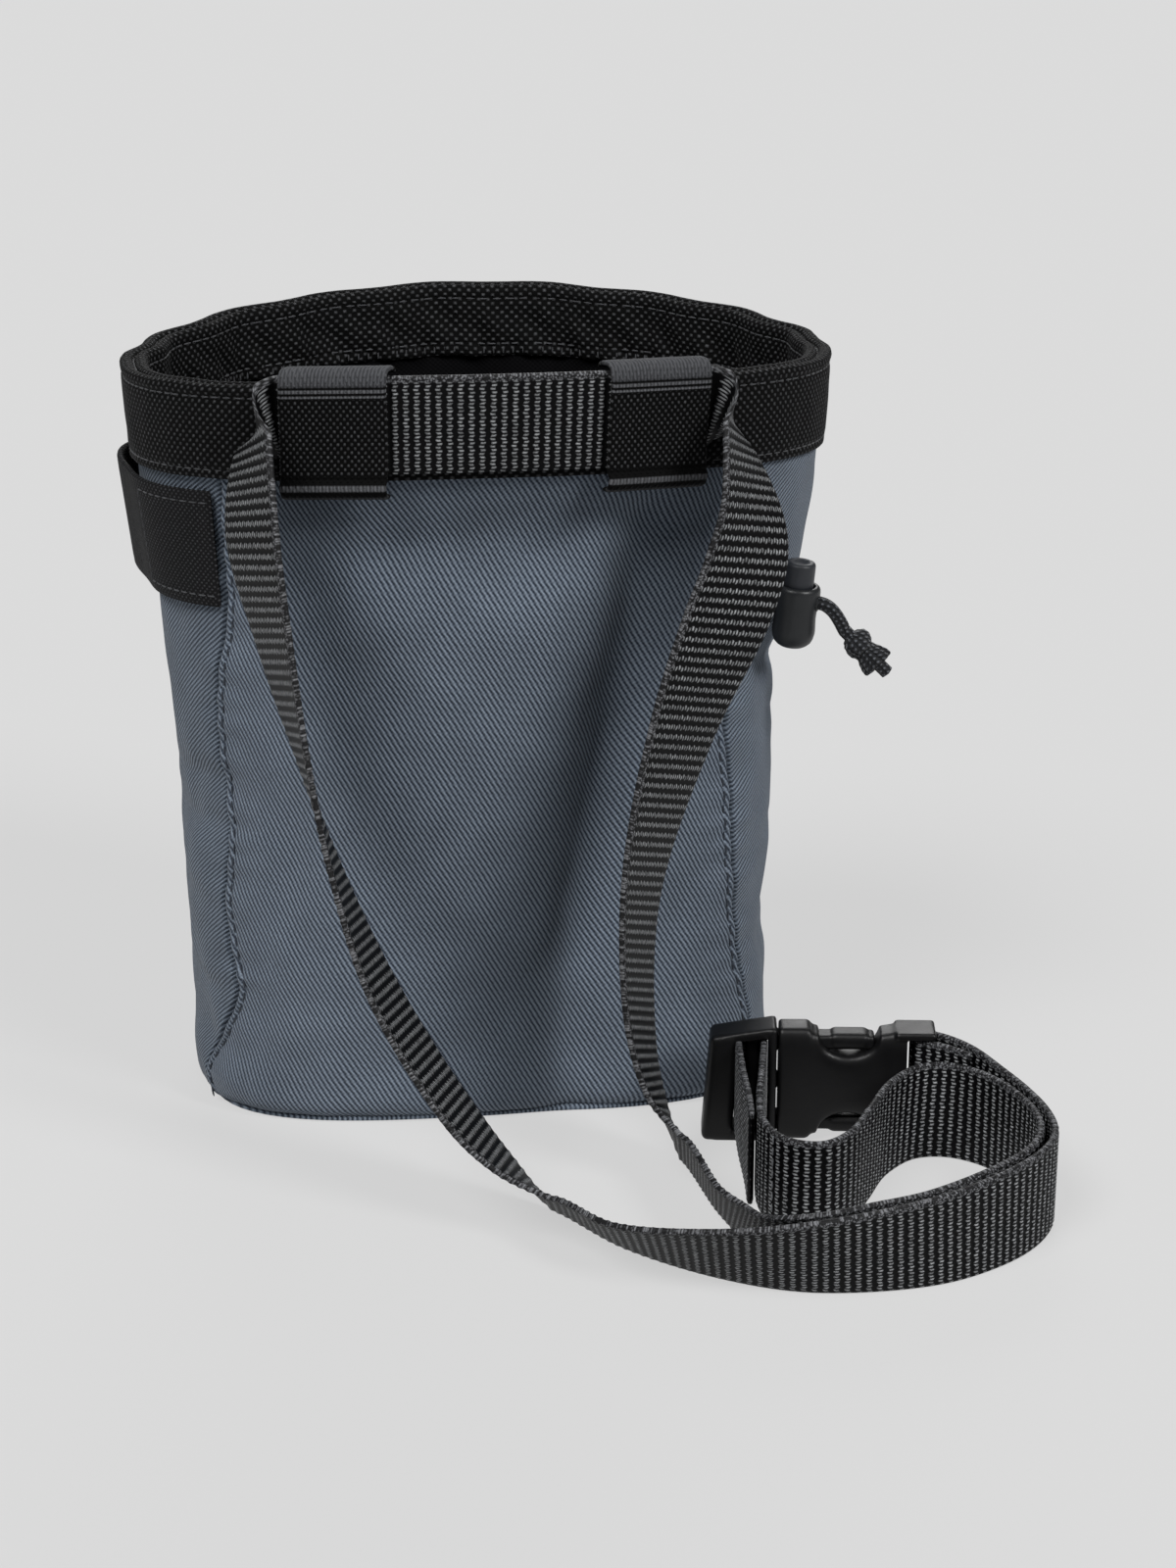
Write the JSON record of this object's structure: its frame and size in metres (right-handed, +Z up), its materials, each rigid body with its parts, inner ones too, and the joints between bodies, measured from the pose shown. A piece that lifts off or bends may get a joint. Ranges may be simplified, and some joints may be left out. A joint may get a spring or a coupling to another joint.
{
  "type": "climbing chalk bag",
  "caption": "Cloth climbing chalk bag with a stiff webbing collar, drawcord and cord lock, brush holder sleeve, and a waist belt with a side-release buckle.",
  "frame": {"origin": "middle of the bag's base, on the surface that it stands on", "axes": "+Z up through the mouth, -Y towards the side that carries the waist belt, +X towards the cord lock"},
  "size_m": [0.1743, 0.1645, 0.1604],
  "materials": {
    "canvas": "slate blue cotton twill",
    "lining_nylon": "smooth black coated nylon",
    "collar_webbing": "black woven webbing",
    "belt_webbing": "black ribbed webbing",
    "loop_webbing": "black fine webbing",
    "holder_webbing": "black woven webbing",
    "buckle_plastic": "satin black moulded acetal",
    "lock_plastic": "satin black moulded plastic",
    "cord_braid": "black braided cord"
  },
  "bodies": {
    "bag": {"back_panel": "canvas", "side_panel_left": "canvas", "side_panel_right": "canvas", "front_panel": "canvas", "base_panel": "canvas", "lining": "lining_nylon", "collar": "collar_webbing", "belt_loop_left": "loop_webbing", "belt_loop_right": "loop_webbing", "waist_belt": "belt_webbing", "brush_holder": "holder_webbing", "buckle_plug": "buckle_plastic", "buckle_socket": "buckle_plastic", "cord_lock_body": "lock_plastic", "drawcord": "cord_braid", "cord_knot": "cord_braid"},
    "button": {"cord_lock_button": "lock_plastic"}
  },
  "joints": [
    {"name": "button_press", "type": "slide", "parent": "bag", "child": "button", "axis": [-0.0819, 0.0298, -0.9962], "range_m": [0, 0.003], "stiffness_N_per_m": 1200, "springref_m": -0.001}
  ]
}
